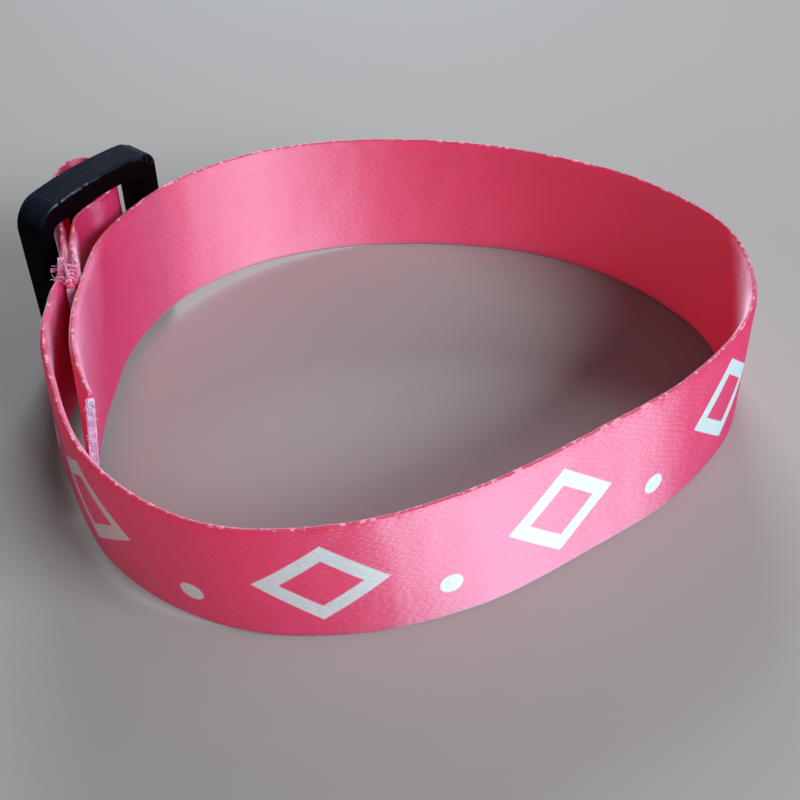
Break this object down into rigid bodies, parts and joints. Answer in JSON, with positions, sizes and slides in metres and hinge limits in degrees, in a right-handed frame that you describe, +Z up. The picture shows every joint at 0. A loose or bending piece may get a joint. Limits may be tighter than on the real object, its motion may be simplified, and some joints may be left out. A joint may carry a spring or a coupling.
{
  "type": "printed satin ribbon wristband with a slide buckle",
  "caption": "Wristband of coral satin ribbon with plain white motifs, closed by a black plastic slide buckle and standing on its edge.",
  "frame": {"origin": "under the middle of the whole band's outline, on the surface that it stands on", "axes": "+X along the ring's longer side, towards the end away from the buckle; +Z up, from the edge it stands on to the upper edge"},
  "size_m": [0.0748, 0.06, 0.02],
  "materials": {
    "ribbon": "satin-woven polyester ribbon, coral red, with printed white motifs",
    "buckle_plastic": "moulded black plastic, satin sheen"
  },
  "bodies": {
    "root": {"band": "ribbon", "buckle": "buckle_plastic"}
  },
  "joints": []
}
